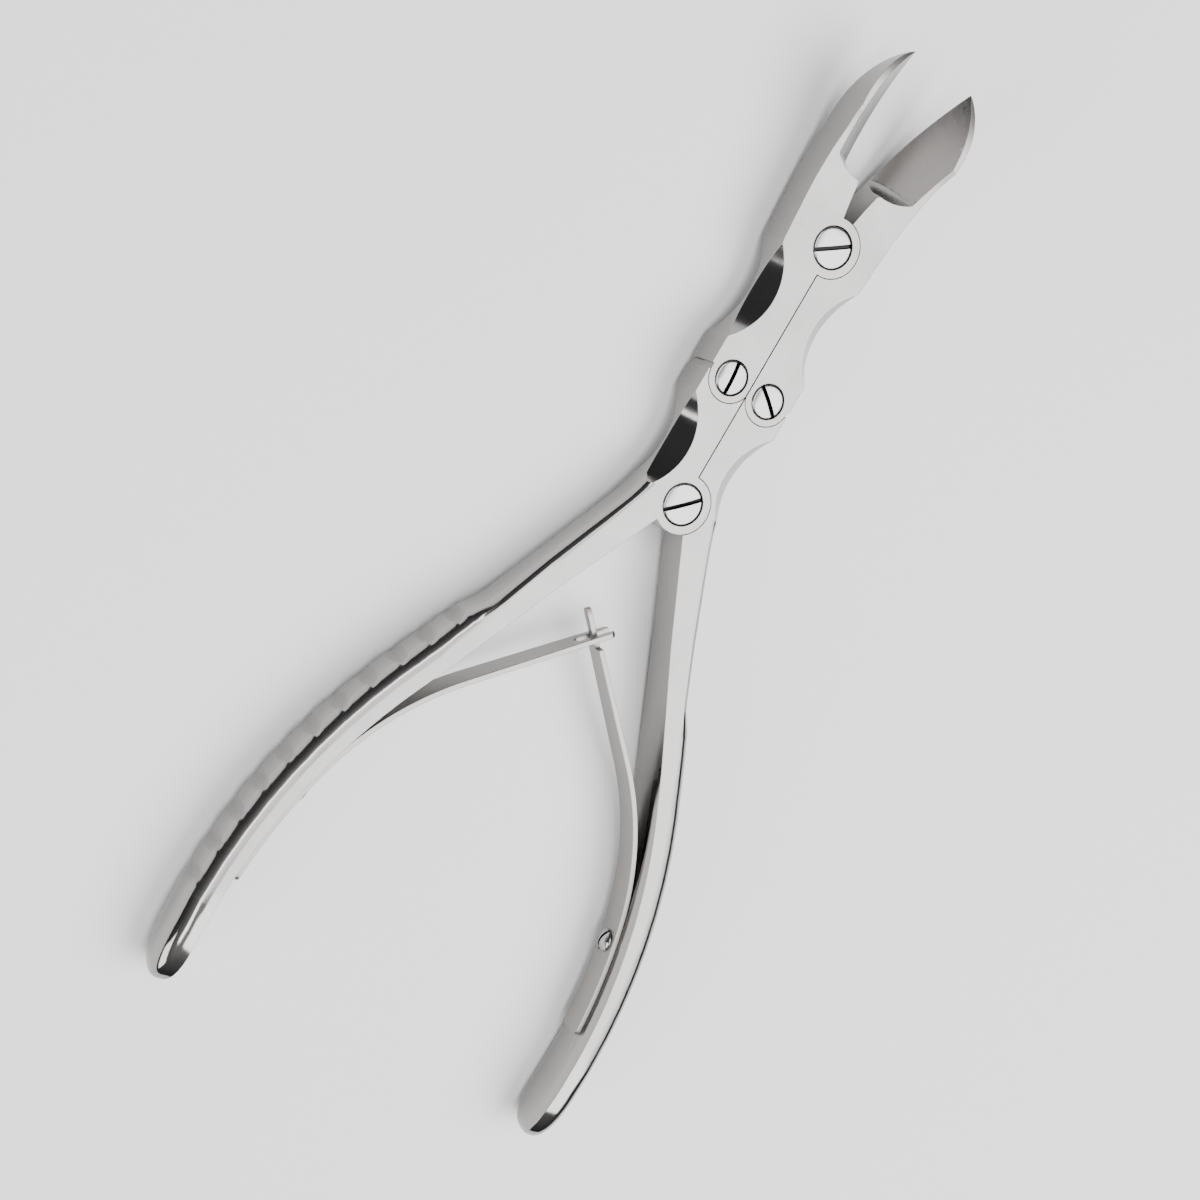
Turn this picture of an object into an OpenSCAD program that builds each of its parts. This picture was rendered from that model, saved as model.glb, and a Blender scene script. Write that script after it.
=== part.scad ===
// Double-action cutting pliers: two curved-up blades, two bowed handles, a four-bar
// linkage between them, and a pair of leaf springs that meet in a fork and tongue.
// +Y points to the blade tips, +Z up, X = 0 is the plane of symmetry of the mechanism,
// and the origin is the middle of the bounding box's underside, with the jaws open.

/* [Overall] */
// Length from the handle ends to the blade tips, jaws open
overall_length = 270; // [225:1:324]
// Thickness of the jaws, arms and lap joints
joint_thickness = 10.6; // [8.8:0.1:12.8]
// Half width of the jaw tails and handle arms
body_half_width = 12.2; // [12:0.1:14.6]

/* [Linkage] */
// Distance from the jaw pivot to the handle pivot
pivot_spacing = 69.6; // [60:0.1:84]
// Distance from the handle pivot to the link pivots, along the pliers
arm_length = 31.1; // [27:0.1:37]
// Distance of each link pivot from the middle plane
link_offset = 5.75; // [5.4:0.05:6.2]
// Angle that each jaw stands open
jaw_open_angle = 10.9; // [5:0.1:13]
// Gap between the left and right halves along the middle seam
seam_gap = 0.24; // [0.1:0.02:0.6]
// Gap between the upper and lower leaf of a lap joint
lap_gap = 0.1; // [0.04:0.02:0.3]
// Gap between a round boss and the recess it turns in
boss_gap = 0.15; // [0.05:0.01:0.4]
// Width of the slit between a jaw tail and its handle arm
link_slit = 1.4; // [0.8:0.1:3]

/* [Pivot screws] */
// Radius of the round bosses at the jaw and handle pivots
boss_radius = 7.24; // [6.4:0.02:8.6]
// Radius of the round ends at the link pivots
ear_radius = 5.94; // [5.8:0.02:6.6]
// Head radius of the two main pivot screws
main_head_radius = 5.05; // [4:0.05:5.6]
// Head radius of the two link screws
link_head_radius = 4.15; // [3.4:0.05:4.6]
// Shank radius of the two main pivot screws
main_shank_radius = 3; // [2.4:0.05:3.4]
// Shank radius of the two link screws
link_shank_radius = 2.4; // [2:0.05:2.8]
// Height of a screw head below its dome
head_height = 2.6; // [2:0.1:3.2]
// Rise of a screw head's dome above the steel around it
dome_rise = 0.45; // [0.2:0.05:1]
// Width of a screwdriver slot
slot_width = 0.9; // [0.6:0.05:1.4]
// Depth of a screwdriver slot below the top of the steel
slot_depth = 0.9; // [0.5:0.05:1.4]
// Radial clearance of a shank that turns in its bore
running_clearance = 0.08; // [0.02:0.01:0.1]
// Radial clearance around a sunk screw head
head_clearance = 0.2; // [0.1:0.02:0.4]
// Bite of a screw thread into its hole
thread_bite = 0.05; // [0.02:0.01:0.1]

/* [Blades] */
// Distance from the jaw pivot to a blade tip
blade_reach = 48.1; // [45:0.1:49]
// Width of a blade at its broadest part
blade_width = 9.5; // [8:0.1:11.4]
// Distance from the jaw pivot to where a blade's outline turns in
blade_shoulder = 26.5; // [24:0.1:32]
// Radius of the underside of the blades' upward bend
blade_bend_radius = 64; // [60:0.5:77]
// Angle of the ground bevel above the underside
bevel_angle = 52.5; // [50:0.5:55]
// Height of the flat left along a cutting edge
edge_land = 0.16; // [0.1:0.02:0.4]
// Depth of the hollow in the ground bevel
bevel_hollow = 0.5; // [0.1:0.05:0.7]
// Distance from the jaw pivot to where the bevel starts
bevel_start = 16.4; // [14:0.1:20]
// Radius of the run-out at the start of the bevel
bevel_runout = 8; // [6:0.5:10]
// Half width of the space left between the closed blades
blade_gap = 0.1; // [0.05:0.01:0.3]
// Distance from the jaw pivot to the highest point of a blade's back
back_crest = 36.5; // [33:0.1:40]
// Height of the back's crest above the flat top of the joint
back_height = 5.9; // [4.9:0.1:7]
// Radius of the back as it runs down to the tip
back_radius = 34; // [28:0.5:41]

/* [Waist hollows] */
// Radius of the wheel that grinds the hollows
hollow_radius = 20; // [16.5:0.5:24]
// Half width of the top face at the jaws' hollows
jaw_waist = 6.5; // [5.8:0.1:7.8]
// Half width of the top face at the arms' hollows
arm_waist = 5.9; // [5.4:0.1:7]
// Half width of the jaws' flanks at their hollows
jaw_flank = 10.6; // [9.6:0.1:11]
// Half width of the arms' flanks at their hollows
arm_flank = 10.2; // [9.6:0.1:10.8]
// Radius of the hollowed flanks of the jaws
jaw_flank_radius = 54; // [46:1:64]
// Radius of the hollowed flanks of the arms, where they run out into the handles
arm_flank_radius = 42; // [36:1:50]

/* [Handles] */
// Thickness of the grips
grip_thickness = 14.6; // [12.4:0.1:17.5]
// Angle at which the handles leave the pivot, from the length of the pliers
handle_angle = 27.3; // [24:0.1:31]
// Length of the straight part of a handle, from the pivot
handle_straight = 75.4; // [66:0.1:82]
// Distance before its end at which a handle runs parallel to the other
parallel_from_end = 19.5; // [10:0.5:26]
// Width of a handle beside the pivot
root_width = 8.2; // [7.6:0.1:9]
// Width of a handle at its thinnest, just before the grip
shank_width = 6.7; // [6:0.1:7.4]
// Width of a grip where its notches begin
grip_width = 8; // [7.4:0.1:9.6]
// Width of a grip at its end
grip_end_width = 7; // [6:0.1:8]
// Rise of the grip's slightly domed inner face
grip_dome = 1; // [0.3:0.1:1.4]
// Distance along a handle from the pivot to its first notch
first_notch = 58.7; // [54:0.1:64]
// Distance from one notch to the next
notch_pitch = 8; // [6.6:0.1:10]
// Number of notches that a full-length grip has
notch_count = 11; // [6:1:12]
// Depth of a notch
notch_depth = 1; // [0.5:0.05:1.2]
// Width of a notch
notch_width = 4.2; // [3.4:0.1:5]
// Least distance from the last notch to the end of the handle
plain_end = 23; // [22:0.5:30]

/* [Springs] */
// Thickness of the spring strips
spring_thickness = 1.4; // [1:0.05:1.8]
// Width of a spring at its foot
spring_foot_width = 8; // [7:0.1:9.4]
// Width of a spring at its tip
spring_tip_width = 6.4; // [5.6:0.1:7]
// Distance from the handle's end to the end of the spring foot
foot_from_end = 28; // [24:0.5:34]
// Length of the foot that lies on the handle
foot_length = 29; // [24:0.5:34]
// Distance from the foot's end to the point at which the spring flexes
flex_from_foot = 46; // [42:0.5:50]
// Angle of the spring's chord, from where it leaves the handle to the other spring
chord_angle = 37.3; // [35:0.1:40]
// Share of the chord that the spring's bend takes
bend_share = 0.8; // [0.6:0.01:0.9]
// Width of the tongue on the right spring
tongue_width = 2.2; // [1.6:0.1:2.6]
// Reach of the tongue past the crossing
tongue_reach = 7.6; // [6:0.1:9]
// Reach of the fork past the crossing
fork_reach = 4.6; // [3.6:0.1:6]
// Clearance between the tongue and the fork's slot on each side
fork_clearance = 0.35; // [0.2:0.05:0.5]
// Distance before the crossing at which the right spring narrows to its tongue
tongue_shoulder = 2.6; // [2.4:0.1:4]
// Distance before the crossing at which the fork's slot begins
slot_root = 5; // [4:0.1:8]
// Distance from the foot's end to its screw
spring_screw_from_foot = 24.5; // [18:0.5:26]
// Head radius of a spring screw
spring_head_radius = 2.9; // [2.4:0.1:3.2]
// Height of a spring screw's domed head
spring_head_height = 1.7; // [1.2:0.1:2.2]
// Thread radius of a spring screw
spring_thread_radius = 1.3; // [1:0.05:1.5]

/* [Hidden] */
$fn = 96;

STEEL = "gainsboro";
SCREW_STEEL = "silver";
SPRING_STEEL = "lightslategray";
LEFT = -1;
RIGHT = 1;

// Heights: the grips are the lowest, and everything is centred on one middle plane
mid_z = grip_thickness / 2;
low_z = mid_z - joint_thickness / 2;
top_z = mid_z + joint_thickness / 2;
past = 1;                       // how far a cut runs past the face that it opens

// Places along the pliers
end_sag = 0.47;                 // how far a rounded handle end hangs below the end of its path
open_tip = blade_reach * cos(jaw_open_angle);
jaw_y = overall_length / 2 - open_tip;
handle_y = jaw_y - pivot_spacing;
link_y = handle_y + arm_length;
handle_reach = handle_y + overall_length / 2 - end_sag;
half_seam = seam_gap / 2;

// Blades, in a frame with the jaw pivot at the origin and the jaws closed
bend_start = boss_radius + 0.6;
root_half_width = body_half_width + 0.9;
root_y = -3.4;
blunt_along = 2.6;              // exponents of the blade's rounded outline
blunt_across = 0.75;
outline_steps = 20;
bevel_length = joint_thickness / sin(bevel_angle);
hollow_circle = bevel_length * bevel_length / (8 * bevel_hollow);
bend_height = low_z + blade_bend_radius;    // height of the centre that the blades bend about
crest_z = top_z + back_height;
root_relief = 0.01;             // how far a blade's root lies below the faces of the boss around it

// Hollows, each one centred between the shoulders that it leaves
jaw_hollow_y = jaw_y - 18.2;
hollow_ridge = 0.3;             // half the height of the ridge left between an upper and a lower hollow
arm_below_pivot = 2;            // how far the arm's block runs past the handle pivot
head_seat = 0.05;               // gap between a sunk head and its seat

// Handle path: the inner edge of the right handle, as a distance s from the pivot
path_x = 0.9;
bend_y = -handle_straight * cos(handle_angle);
grip_radius = (handle_reach + bend_y - parallel_from_end) / sin(handle_angle);
end_angle = asin(min(0.95, parallel_from_end / grip_radius));
path_end = handle_straight + grip_radius * (handle_angle + end_angle) * PI / 180;
bend_turn = function (s) s < handle_straight ? handle_angle
    : handle_angle - (s - handle_straight) / grip_radius * 180 / PI;
outward = function (s) [cos(bend_turn(s)), sin(bend_turn(s))];
bend_point = [path_x + handle_straight * sin(handle_angle), handle_y + bend_y];
path_point = function (s) s < handle_straight
    ? [path_x + s * sin(handle_angle), handle_y - s * cos(handle_angle)]
    : bend_point + grip_radius * [cos(bend_turn(s)) - cos(handle_angle),
                                  sin(bend_turn(s)) - sin(handle_angle)];

// The arm's hollowed flank is an arc that runs tangent into the outer edge of the shank
taper_end = 22;                 // distance over which the shank narrows from the arm
taper = 1.1;
shank_outer = function (s) path_point(s) + (root_width + taper * (1 - s / taper_end)) * outward(s);
edge_run = shank_outer(taper_end) - shank_outer(0);
edge_out = [-edge_run[1], edge_run[0]] / norm(edge_run);
flank_x = arm_flank + arm_flank_radius;
flank_y = shank_outer(0)[1] + (arm_flank_radius - edge_out[0] * (flank_x - shank_outer(0)[0])) / edge_out[1];
flank_centre = [flank_x, flank_y];
tangent_s = (flank_centre - path_point(0)) * [sin(handle_angle), -cos(handle_angle)];
flank_width = function (s) let (
        c = flank_centre - path_point(s), t = c * outward(s), q = t * t - c * c + arm_flank_radius * arm_flank_radius)
    s < tangent_s && q > 0 ? t - sqrt(q) : 0;
arm_hollow_y = flank_y;
block_end_s = 3.6;              // where the arm's block ends inside the shank

// Handle section at s: width, thickness, flat land and inner dome
shank_end = first_notch - 9;
grip_start = first_notch - notch_width / 2 - 0.5;
sweep_start = 1;
nose_along = 11;                // lengths over which the end rounds off
nose_flat = 15;
nose_exponent = 2.5;
nose = function (s, reach) let (t = max(0, (s - path_end + reach) / reach))
    pow(1 - pow(min(t, 0.997), nose_exponent), 1 / nose_exponent);
section_width = function (s) nose(s, nose_along) * max(flank_width(s), lookup(s, [
    [0, root_width + taper], [taper_end, root_width], [shank_end, shank_width],
    [grip_start, grip_width], [path_end - nose_along, grip_end_width]]));
section_thickness = function (s) nose(s, nose_flat) * lookup(s, [
    [0, joint_thickness], [34, joint_thickness], [grip_start + 9, grip_thickness]]);
section_land = function (s) nose(s, nose_along) * lookup(s, [
    [0, root_width - 0.6], [17, root_width - 2.1], [grip_start, 3.7], [path_end, 1.8]]);
section_dome = function (s) nose(s, nose_along) * lookup(s, [
    [0, 0], [shank_end, 0], [grip_start + 20, grip_dome]]);
nose_shift = function (s) (1 - nose(s, nose_along)) * 0.42 * grip_end_width;
roundness = 0.8;                // below 1 squares the outer face, 1 makes it an ellipse
round_steps = 14;
dome_heights = [-0.85, -0.6, 0.6, 0.85];   // the dome is flat in its middle, where a spring lies
notches = min(notch_count, floor((path_end - plain_end - first_notch) / notch_pitch) + 1);
notch_at = function (k) first_notch + k * notch_pitch;
notch = function (s) let (
        k = max(0, min(notches - 1, round((s - first_notch) / notch_pitch))),
        t = 2 * (s - notch_at(k)) / notch_width)
    notch_depth * max(0, 1 - t * t);
section = function (s) let (
        w = section_width(s), h = section_thickness(s) / 2, l = section_land(s), d = section_dome(s))
    concat(
        [[0, h]],
        [for (i = [0:round_steps]) let (
                a = 90 - 180 * i / round_steps, c = max(0, cos(a)))
            [min(l + (w - l) * pow(c, roundness), w - notch(s)), h * sign(a) * pow(abs(sin(a)), roundness)]],
        [[0, -h]],
        [for (v = dome_heights) [-d * min(1, (1 - v * v) / (1 - pow(dome_heights[1], 2))), h * v]]);
section_size = len(section(10));
place = function (s, p) let (q = path_point(s) + (p[0] + nose_shift(s)) * outward(s)) [q[0], q[1], mid_z + p[1]];

// Stations along the handle: wide apart on the shank, closer on the grip and its end
shank_steps = 20;
end_steps = 10;
nose_start = path_end - nose_flat;
plain_start = notch_at(notches - 1) + notch_pitch / 2;
plain_steps = max(1, ceil((nose_start - plain_start) / notch_pitch));
stations = concat(
    [for (i = [0:shank_steps]) sweep_start + (grip_start - sweep_start) * i / shank_steps],
    [for (k = [0:notches - 1]) for (i = [-2:3])
        notch_at(k) + (i < 3 ? notch_width * i / 4 : notch_pitch / 2)],
    [for (i = [1:1:plain_steps - 1]) plain_start + (nose_start - plain_start) * i / plain_steps],
    [for (i = [0:end_steps]) nose_start + nose_flat * sin(90 * i / end_steps)]);

// Spring line: it lies on the dome of the grip, bends away and runs straight to the crossing
foot_end = path_end - foot_from_end;
lift_off = foot_end - foot_length;
seat_clearance = 0.02;
seat = function (s) grip_dome + seat_clearance + spring_thickness / 2;
spring_on_grip = function (s) path_point(s) - seat(s) * outward(s);
lift_point = spring_on_grip(lift_off);
lift_angle = bend_turn(lift_off);
crossing = [0, lift_point[1] + lift_point[0] / tan(chord_angle)];
chord = norm(crossing - lift_point);
bend_radius = bend_share * chord / (2 * sin(chord_angle - lift_angle));
bend_centre = lift_point - bend_radius * [cos(lift_angle), sin(lift_angle)];
to_crossing = crossing - bend_centre;
leaf_length = sqrt(to_crossing * to_crossing - bend_radius * bend_radius);
leaf_angle = atan2(to_crossing[1], to_crossing[0]) - acos(bend_radius / norm(to_crossing));
leaf_start = bend_centre + bend_radius * [cos(leaf_angle), sin(leaf_angle)];
flex_turn = (flex_from_foot - foot_length) / bend_radius * 180 / PI;
flex_gap = 0.3;
flex_gap_turn = flex_gap / bend_radius * 180 / PI;
bend_thickness = spring_thickness - 0.04;   // the strips thin out a little towards the tip
leaf_thickness = spring_thickness - 0.08;
strip_lap = 0.7;                // angle over which the bend starts inside the foot
spring_screw_s = foot_end - spring_screw_from_foot;
spring_thread_depth = spring_thickness + grip_dome + 4.6;
shank_short = 0.4;              // how far a pivot screw's end stops short of the underside

// Shared helpers

// Draws a right-hand part, or its mirror image on the left
module on_side(side) {
    if (side == LEFT) mirror([1, 0, 0]) children();
    else children();
}

// A disc that stands between two heights
module disc(r, from_z, to_z) {
    translate([0, 0, from_z]) cylinder(r = r, h = to_z - from_z);
}

// The round room that a boss or an ear of the other part turns in
module half_recess(r, below) {
    if (below) disc(r, low_z - past, mid_z + lap_gap / 2);
    else disc(r, mid_z - lap_gap / 2, top_z + past);
}

// Bore of the upper part of a lap joint: a seat for the head and a hole that the shank turns in
module upper_bore(head_r, shank_r) {
    disc(head_r + head_clearance, top_z - head_height - head_seat, top_z + past);
    disc(shank_r + running_clearance, mid_z - past, top_z);
}

// Bore of the lower part of a lap joint, where the screw's thread bites
module lower_bore(shank_r) {
    disc(shank_r - thread_bite, low_z - past, mid_z + past);
}

// The wheels that hollow a flank: one upright, and one that grinds each corner from the waist out
module hollow_wheels(y, waist, flank, flank_r) {
    slope = atan2(joint_thickness / 2 - hollow_ridge, flank - waist);
    translate([flank + flank_r, y, low_z - past])
        cylinder(r = flank_r, h = joint_thickness + past * 2, $fn = 240);
    for (up = [0, 1])
        translate([waist, y, mid_z]) mirror([0, 0, up])
            translate([0, 0, joint_thickness / 2])
                rotate([0, 90 + slope, 0])
                    translate([-hollow_radius, 0, -40])
                        cylinder(r = hollow_radius, h = 80);
}

// Jaws

// Outline of the right blade with the jaws closed
module blade_outline() {
    span = blade_reach - blade_shoulder;
    polygon(concat(
        [[blade_gap, 0], [root_half_width, root_y]],
        [for (i = [0:outline_steps]) let (t = sin(90 * i / outline_steps))
            [blade_gap + (blade_width - blade_gap) * pow(1 - pow(t, blunt_along), blunt_across),
             blade_shoulder + span * t]]));
}

// Side view of a blade: a slab that bends up about one centre, under a back that falls to the tip
module blade_side() {
    start = root_y - past;
    length = blade_reach - start;
    difference() {
        intersection() {
            union() {
                translate([start, low_z + root_relief]) square([bend_start - start, crest_z]);
                translate([bend_start, bend_height]) circle(r = blade_bend_radius, $fn = 360);
            }
            union() {
                translate([start, 0]) square([back_crest - start, crest_z]);
                translate([back_crest, crest_z - back_radius]) circle(r = back_radius, $fn = 240);
            }
            translate([start, 0]) square([length + past, crest_z + past]);
        }
        translate([bend_start, bend_height]) circle(r = blade_bend_radius - joint_thickness, $fn = 360);
        translate([start - past, top_z - root_relief]) square([bend_start - start + past, crest_z]);
    }
}

// What the grinding wheel takes off a blade: a hollow bevel that follows the bend, with a rounded run-out
module bevel_cut() {
    edge = blade_bend_radius - edge_land;
    deep = joint_thickness * 1.6;
    slope = 1 / tan(bevel_angle);
    intersection() {
        translate([0, bend_start, bend_height]) rotate([0, 90, 0]) rotate_extrude($fn = 360) {
            polygon([[edge + past, blade_gap - past * slope], [edge - deep, blade_gap + deep * slope],
                     [edge - deep, -past * 3], [edge + past, -past * 3]]);
            intersection() {
                translate([edge - joint_thickness / 2, blade_gap + joint_thickness / 2 * slope])
                    rotate(bevel_angle - 90)
                        translate([0, bevel_hollow - hollow_circle]) circle(r = hollow_circle, $fn = 360);
                translate([edge - deep, -past * 2]) square([deep, deep * 1.5]);
            }
        }
        translate([blade_gap, 0, low_z]) rotate([0, -bevel_angle, 0]) rotate([90, 0, 90])
            translate([0, 0, -past * 4]) linear_extrude(bevel_length * 2.6) {
                translate([bevel_start + bevel_runout, bevel_runout]) circle(r = bevel_runout);
                translate([bevel_start, bevel_runout]) square([blade_reach, joint_thickness * 3]);
                translate([bevel_start + bevel_runout, -past * 2]) square([blade_reach, bevel_runout + past * 3]);
            }
    }
}

// The part of a right jaw above its pivot, closed
module blade() {
    difference() {
        intersection() {
            linear_extrude(top_z + back_height + past) blade_outline();
            rotate([90, 0, 90]) linear_extrude(root_half_width + past) blade_side();
        }
        bevel_cut();
    }
}

// A jaw, without its bores: the left one keeps its boss above, the right one below
module jaw_blank(side) {
    difference() {
        union() {
            on_side(side) {
                translate([0, jaw_y, 0]) rotate(-jaw_open_angle) blade();
                difference() {
                    union() {
                        translate([half_seam, link_y + link_slit / 2, low_z])
                            cube([body_half_width - half_seam, jaw_y - link_y - link_slit / 2,
                                  joint_thickness]);
                        translate([link_offset, link_y, 0]) disc(ear_radius, low_z, top_z);
                    }
                    translate([-ear_radius, link_y - ear_radius - past, low_z - past])
                        cube([ear_radius + half_seam, ear_radius * 2 + past, joint_thickness + past * 2]);
                }
            }
            translate([0, jaw_y, 0]) disc(boss_radius, low_z, top_z);
        }
        translate([0, jaw_y, 0])
            half_recess(boss_radius + boss_gap, side == LEFT);
        on_side(side) {
            translate([link_offset, link_y, 0]) half_recess(ear_radius + boss_gap, true);
            hollow_wheels(jaw_hollow_y, jaw_waist, jaw_flank, jaw_flank_radius);
        }
    }
}

module left_jaw() {
    color(STEEL) difference() {
        jaw_blank(LEFT);
        translate([0, jaw_y, 0]) upper_bore(main_head_radius, main_shank_radius);
        translate([-link_offset, link_y, 0]) upper_bore(link_head_radius, link_shank_radius);
    }
}

module right_jaw() {
    color(STEEL) difference() {
        jaw_blank(RIGHT);
        translate([0, jaw_y, 0]) lower_bore(main_shank_radius);
        translate([link_offset, link_y, 0]) upper_bore(link_head_radius, link_shank_radius);
    }
}

// Handles

// Shank and grip of the right handle: D-shaped sections carried along the handle's path
module grip() {
    rings = [for (s = stations) [for (p = section(s)) place(s, p)]];
    n = section_size;
    last = len(rings) - 1;
    hub = 1 + round_steps / 2;      // the outermost point, from which each end is closed
    polyhedron(
        points = [for (ring = rings) each ring],
        faces = concat(
            [for (i = [0:n - 1]) if (i != hub && (i + 1) % n != hub) [hub, (i + 1) % n, i]],
            [for (r = [0:last - 1]) for (i = [0:n - 1]) let (j = (i + 1) % n)
                each [[r * n + i, r * n + j, (r + 1) * n + i],
                      [r * n + j, (r + 1) * n + j, (r + 1) * n + i]]],
            [for (i = [0:n - 1]) if (i != hub && (i + 1) % n != hub)
                [last * n + hub, last * n + i, last * n + (i + 1) % n]]),
        convexity = 8);
}

// The flat block of the right arm, from the link down into the shank
module arm_block() {
    inside = 0.45;
    inner_end = [half_seam, handle_y - arm_below_pivot];
    outer_end = path_point(block_end_s) + (section_width(block_end_s) - inside) * outward(block_end_s);
    top = link_y - link_slit / 2;
    translate([0, 0, low_z]) linear_extrude(joint_thickness)
        polygon([inner_end, [half_seam, top], [body_half_width, top],
                 [body_half_width, outer_end[1] + body_half_width / 2 - 1], outer_end]);
}

// A handle, without the bores of its two pivots
module handle_blank(side) {
    difference() {
        union() {
            on_side(side) difference() {
                union() {
                    grip();
                    arm_block();
                }
                hollow_wheels(arm_hollow_y, arm_waist, arm_flank, arm_flank_radius);
            }
            on_side(side) {
                difference() {
                    translate([link_offset, link_y, 0]) disc(ear_radius, low_z, top_z);
                    translate([-ear_radius, link_y - ear_radius - past, low_z - past])
                        cube([ear_radius + half_seam, (ear_radius + past) * 2, joint_thickness + past * 2]);
                }
            }
            translate([0, handle_y, 0]) disc(boss_radius, low_z, top_z);
        }
        translate([0, handle_y, 0]) half_recess(boss_radius + boss_gap, side == LEFT);
        on_side(side) {
            translate([link_offset, link_y, 0]) half_recess(ear_radius + boss_gap, false);
            on_spring_screw() disc(spring_thread_radius - thread_bite, -spring_thread_depth - past, past * 3);
        }
    }
}

module left_handle() {
    color(STEEL) difference() {
        handle_blank(LEFT);
        translate([0, handle_y, 0]) upper_bore(main_head_radius, main_shank_radius);
        translate([-link_offset, link_y, 0]) lower_bore(link_shank_radius);
    }
}

module right_handle() {
    color(STEEL) difference() {
        handle_blank(RIGHT);
        translate([0, handle_y, 0]) lower_bore(main_shank_radius);
        translate([link_offset, link_y, 0]) lower_bore(link_shank_radius);
    }
}

// Pivot screws

// A slotted screw whose low domed head is sunk in the upper part of a lap joint
module pivot_screw(head_r, shank_r, slot_turn) {
    dome_radius = (head_r * head_r + dome_rise * dome_rise) / (2 * dome_rise);
    color(SCREW_STEEL) difference() {
        union() {
            intersection() {
                translate([0, 0, top_z + dome_rise - dome_radius]) rotate([90, 0, 0]) sphere(r = dome_radius, $fn = 240);
                disc(head_r, top_z - head_height, top_z + dome_rise * 2);
            }
            disc(shank_r, low_z + shank_short, top_z - past);
        }
        rotate(slot_turn) translate([-head_r - past, -slot_width / 2, top_z - slot_depth])
            cube([head_r * 2 + past * 2, slot_width, slot_depth + dome_rise + past]);
    }
}

module jaw_pivot_screw() {
    translate([0, jaw_y, 0]) pivot_screw(main_head_radius, main_shank_radius, 35);
}

module handle_pivot_screw() {
    translate([0, handle_y, 0]) pivot_screw(main_head_radius, main_shank_radius, 42);
}

module left_link_screw() {
    translate([-link_offset, link_y, 0]) pivot_screw(link_head_radius, link_shank_radius, 95);
}

module right_link_screw() {
    translate([link_offset, link_y, 0]) pivot_screw(link_head_radius, link_shank_radius, -37);
}

// Springs

// Moves a screw that stands on Z = 0 to the outer face of the right spring's foot
module on_spring_screw() {
    q = path_point(spring_screw_s);
    face = grip_dome + seat_clearance + spring_thickness;
    translate([q[0] - face * outward(spring_screw_s)[0], q[1] - face * outward(spring_screw_s)[1], mid_z])
        rotate([0, 0, bend_turn(spring_screw_s)]) rotate([0, -90, 0]) children();
}

// A bent strip of the spring about a vertical axis
module spring_arc(centre, r, from, turn, thickness) {
    translate([centre[0], centre[1], mid_z - spring_foot_width / 2]) rotate(from)
        rotate_extrude(angle = turn, $fn = 360)
            translate([r - thickness / 2, 0]) square([thickness, spring_foot_width]);
}

// The part of the right spring that is fixed to its handle
module spring_foot() {
    grip_centre = bend_point - grip_radius * [cos(handle_angle), sin(handle_angle)];
    difference() {
        union() {
            spring_arc(grip_centre, grip_radius - seat(0), bend_turn(foot_end),
                       foot_length / grip_radius * 180 / PI, spring_thickness);
            spring_arc(bend_centre, bend_radius, lift_angle - strip_lap,
                       flex_turn + strip_lap - flex_gap_turn / 2, bend_thickness);
        }
        on_spring_screw() disc(spring_thread_radius + head_clearance, -spring_thickness - past, past);
    }
}

// Outline of a spring's leaf, seen square to its face and measured from the crossing
module leaf_outline(side) {
    back = leaf_length + bend_radius;
    tip_half = spring_tip_width / 2;
    back_half = tip_half + (spring_foot_width - spring_tip_width) / 2 * back / leaf_length;
    slot = tongue_width + fork_clearance * 2;
    half = side == RIGHT
        ? [[-back, back_half], [-tongue_shoulder, tip_half], [-tongue_shoulder, tongue_width / 2],
           [tongue_reach - tongue_width * 0.4, tongue_width / 2], [tongue_reach, tongue_width / 4]]
        : [[-back, back_half], [fork_reach - slot / 2, tip_half], [fork_reach, tip_half - slot / 4]];
    difference() {
        polygon(concat(half, [for (i = [len(half) - 1:-1:0]) [half[i][0], -half[i][1]]]));
        if (side == LEFT) {
            translate([-slot_root + slot / 2, 0]) circle(d = slot);
            translate([-slot_root + slot / 2, -slot / 2]) square([slot_root + fork_reach + past, slot]);
        }
    }
}

// The part of a spring that swings, drawn for the right side
module spring_leaf(side) {
    turn_left = leaf_angle - lift_angle - flex_turn;
    intersection() {
        union() {
            spring_arc(bend_centre, bend_radius, lift_angle + flex_turn + flex_gap_turn / 2,
                       turn_left - flex_gap_turn / 2, bend_thickness);
            translate([leaf_start[0], leaf_start[1], mid_z - spring_foot_width / 2]) rotate(leaf_angle)
                translate([-leaf_thickness / 2, -past, 0])
                    cube([leaf_thickness, leaf_length + tongue_reach + past, spring_foot_width]);
        }
        translate([crossing[0], crossing[1], mid_z]) rotate(leaf_angle + 90) rotate([90, 0, 0])
            translate([0, 0, -bend_radius]) linear_extrude(bend_radius * 2) leaf_outline(side);
    }
}

module left_spring_foot() {
    color(SPRING_STEEL) on_side(LEFT) spring_foot();
}

module right_spring_foot() {
    color(SPRING_STEEL) spring_foot();
}

module left_spring_leaf() {
    color(SPRING_STEEL) on_side(LEFT) spring_leaf(LEFT);
}

module right_spring_leaf() {
    color(SPRING_STEEL) spring_leaf(RIGHT);
}

// A slotted round-head screw that holds a spring's foot to its grip
module spring_screw() {
    dome_radius = (spring_head_radius * spring_head_radius + spring_head_height * spring_head_height)
        / (2 * spring_head_height);
    on_spring_screw() translate([0, 0, head_seat]) difference() {
        union() {
            intersection() {
                translate([0, 0, spring_head_height - dome_radius]) rotate([90, 0, 0]) sphere(r = dome_radius);
                disc(spring_head_radius + past, 0, spring_head_height + past);
            }
            disc(spring_thread_radius, -spring_thread_depth, past / 2);
        }
        rotate(70) translate([-spring_head_radius - past, -slot_width * 0.4, spring_head_height - slot_depth])
            cube([spring_head_radius * 2 + past * 2, slot_width * 0.8, slot_depth + past]);
    }
}

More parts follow.
